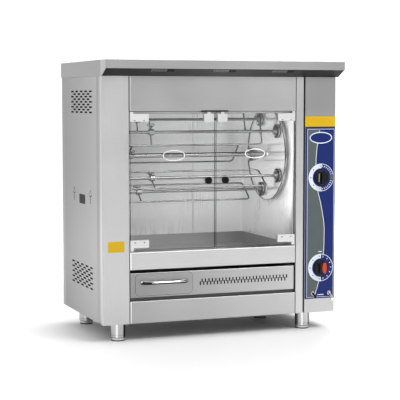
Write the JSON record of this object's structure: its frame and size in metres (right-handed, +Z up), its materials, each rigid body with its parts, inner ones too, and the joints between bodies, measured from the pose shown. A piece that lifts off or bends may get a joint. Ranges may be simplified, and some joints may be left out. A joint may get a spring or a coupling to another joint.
{
  "type": "rotisserie oven",
  "caption": "Commercial planetary rotisserie oven with sheet-steel casing and canopy, glass double doors, turning spit carrier, grease drawer and side control panel",
  "frame": {"origin": "on the floor, centred under the hood's outline", "axes": "+Z up, +X towards the control box on the right, the doors face -Y"},
  "size_m": [1.013, 0.6576, 1.102],
  "materials": {
    "brushed_steel": "fine vertical brushed grain, satin",
    "polished_steel": "bright rolled stainless, nearly mirror",
    "chrome": "polished",
    "door_glass": "clear tempered glass, polished edges",
    "fascia_print": "navy and grey-green printed film, semi-gloss",
    "black_plastic": "moulded, semi-gloss",
    "gear_steel": "machined, lightly greased",
    "heater_sheath": "oxidised heater sheath, matt",
    "cast_housing": "painted casting, matt",
    "foot_rubber": "moulded rubber, matt"
  },
  "bodies": {
    "body": {"base_pan": "brushed_steel", "cable_gland": "black_plastic", "chamber_floor_pan": "polished_steel", "chamber_liner": "polished_steel", "control_box_cover": "brushed_steel", "control_fascia": "fascia_print", "gear_motor": "cast_housing", "heating_element": "heater_sheath", "hood_cap": "brushed_steel", "left_front_column": "brushed_steel", "left_shaft_bearing": "cast_housing", "left_side_panel": "brushed_steel", "leg_front_left": "chrome", "leg_front_right": "chrome", "leg_rear_left": "chrome", "leg_rear_right": "chrome", "lower_front_panel": "brushed_steel", "rear_panel": "brushed_steel", "right_front_post": "brushed_steel", "sill_panel": "brushed_steel", "sun_gear": "gear_steel", "top_front_panel": "brushed_steel"},
    "carrier": {"drive_shaft": "polished_steel", "left_wheel": "polished_steel", "right_wheel": "polished_steel"},
    "spit_1": {"spit_drive_1": "chrome", "spit_rod_1": "chrome"},
    "fork_1": {"spit_fork_1": "chrome"},
    "spit_2": {"spit_drive_2": "chrome", "spit_rod_2": "chrome"},
    "fork_2": {"spit_fork_2": "chrome"},
    "spit_3": {"spit_drive_3": "chrome", "spit_rod_3": "chrome"},
    "fork_3": {"spit_fork_3": "chrome"},
    "spit_4": {"spit_drive_4": "chrome", "spit_rod_4": "chrome"},
    "fork_4": {"spit_fork_4": "chrome"},
    "spit_5": {"spit_drive_5": "chrome", "spit_rod_5": "chrome"},
    "fork_5": {"spit_fork_5": "chrome"},
    "left_door": {"left_door_glass": "door_glass", "left_door_top_hinge": "brushed_steel", "left_door_bottom_hinge": "brushed_steel", "left_door_catch": "brushed_steel", "left_door_knob": "black_plastic"},
    "right_door": {"right_door_glass": "door_glass", "right_door_top_hinge": "brushed_steel", "right_door_bottom_hinge": "brushed_steel", "right_door_catch": "brushed_steel", "right_door_knob": "black_plastic"},
    "drawer": {"drawer_box": "brushed_steel", "drawer_handle": "chrome"},
    "upper_dial": {"upper_dial_knob": "black_plastic"},
    "lower_dial": {"lower_dial_knob": "black_plastic"},
    "left_switch": {"left_toggle_switch": "black_plastic"},
    "right_switch": {"right_toggle_switch": "chrome"},
    "foot_front_left": {"foot_front_left": "foot_rubber"},
    "foot_front_right": {"foot_front_right": "foot_rubber"},
    "foot_rear_left": {"foot_rear_left": "foot_rubber"},
    "foot_rear_right": {"foot_rear_right": "foot_rubber"}
  },
  "joints": [
    {"name": "carrier_spin", "type": "hinge", "parent": "body", "child": "carrier", "pos_m": [-0.005, -0.03125, 0.72], "axis": [1, 0, 0], "continuous": true},
    {"name": "spit_1_spin", "type": "hinge", "parent": "carrier", "child": "spit_1", "pos_m": [-0.005, 0.02516, 0.86544], "axis": [1, 0, 0], "continuous": true},
    {"name": "fork_1_slide", "type": "slide", "parent": "spit_1", "child": "fork_1", "axis": [1, 0, 0], "range_m": [-0.02, 0.035]},
    {"name": "spit_2_spin", "type": "hinge", "parent": "carrier", "child": "spit_2", "pos_m": [-0.005, -0.15214, 0.8186], "axis": [1, 0, 0], "continuous": true},
    {"name": "fork_2_slide", "type": "slide", "parent": "spit_2", "child": "fork_2", "axis": [1, 0, 0], "range_m": [-0.02, 0.035]},
    {"name": "spit_3_spin", "type": "hinge", "parent": "carrier", "child": "spit_3", "pos_m": [-0.005, -0.16238, 0.63549], "axis": [1, 0, 0], "continuous": true},
    {"name": "fork_3_slide", "type": "slide", "parent": "spit_3", "child": "fork_3", "axis": [1, 0, 0], "range_m": [-0.02, 0.035]},
    {"name": "spit_4_spin", "type": "hinge", "parent": "carrier", "child": "spit_4", "pos_m": [-0.005, 0.0086, 0.56918], "axis": [1, 0, 0], "continuous": true},
    {"name": "fork_4_slide", "type": "slide", "parent": "spit_4", "child": "fork_4", "axis": [1, 0, 0], "range_m": [-0.02, 0.035]},
    {"name": "spit_5_spin", "type": "hinge", "parent": "carrier", "child": "spit_5", "pos_m": [-0.005, 0.12451, 0.71129], "axis": [1, 0, 0], "continuous": true},
    {"name": "fork_5_slide", "type": "slide", "parent": "spit_5", "child": "fork_5", "axis": [1, 0, 0], "range_m": [-0.02, 0.035]},
    {"name": "left_door_hinge", "type": "hinge", "parent": "body", "child": "left_door", "pos_m": [-0.385, -0.26625, 0.629], "axis": [0, 0, -1], "range_deg": [0, 110]},
    {"name": "right_door_hinge", "type": "hinge", "parent": "body", "child": "right_door", "pos_m": [0.305, -0.26625, 0.629], "axis": [0, 0, 1], "range_deg": [0, 110]},
    {"name": "drawer_slide", "type": "slide", "parent": "body", "child": "drawer", "axis": [0, -1, 0], "range_m": [0, 0.42]},
    {"name": "upper_dial_turn", "type": "hinge", "parent": "body", "child": "upper_dial", "pos_m": [0.431, -0.27325, 0.6295], "axis": [0, -1, 0], "range_deg": [0, 270]},
    {"name": "lower_dial_turn", "type": "hinge", "parent": "body", "child": "lower_dial", "pos_m": [0.431, -0.27325, 0.257], "axis": [0, -1, 0], "range_deg": [0, 270]},
    {"name": "left_switch_flip", "type": "hinge", "parent": "body", "child": "left_switch", "pos_m": [0.395, -0.27985, 0.151], "axis": [-1, 0, 0], "range_deg": [0, 56]},
    {"name": "right_switch_flip", "type": "hinge", "parent": "body", "child": "right_switch", "pos_m": [0.469, -0.27985, 0.151], "axis": [-1, 0, 0], "range_deg": [0, 56]},
    {"name": "foot_front_left_screw", "type": "slide", "parent": "body", "child": "foot_front_left", "axis": [0, 0, -1], "range_m": [0, 0.02]},
    {"name": "foot_front_right_screw", "type": "slide", "parent": "body", "child": "foot_front_right", "axis": [0, 0, -1], "range_m": [0, 0.02]},
    {"name": "foot_rear_left_screw", "type": "slide", "parent": "body", "child": "foot_rear_left", "axis": [0, 0, -1], "range_m": [0, 0.02]},
    {"name": "foot_rear_right_screw", "type": "slide", "parent": "body", "child": "foot_rear_right", "axis": [0, 0, -1], "range_m": [0, 0.02]}
  ],
  "couplings": [
    {"joint": "spit_1_spin", "follows": "carrier_spin", "ratio": 5},
    {"joint": "spit_2_spin", "follows": "carrier_spin", "ratio": 5},
    {"joint": "spit_3_spin", "follows": "carrier_spin", "ratio": 5},
    {"joint": "spit_4_spin", "follows": "carrier_spin", "ratio": 5},
    {"joint": "spit_5_spin", "follows": "carrier_spin", "ratio": 5}
  ]
}
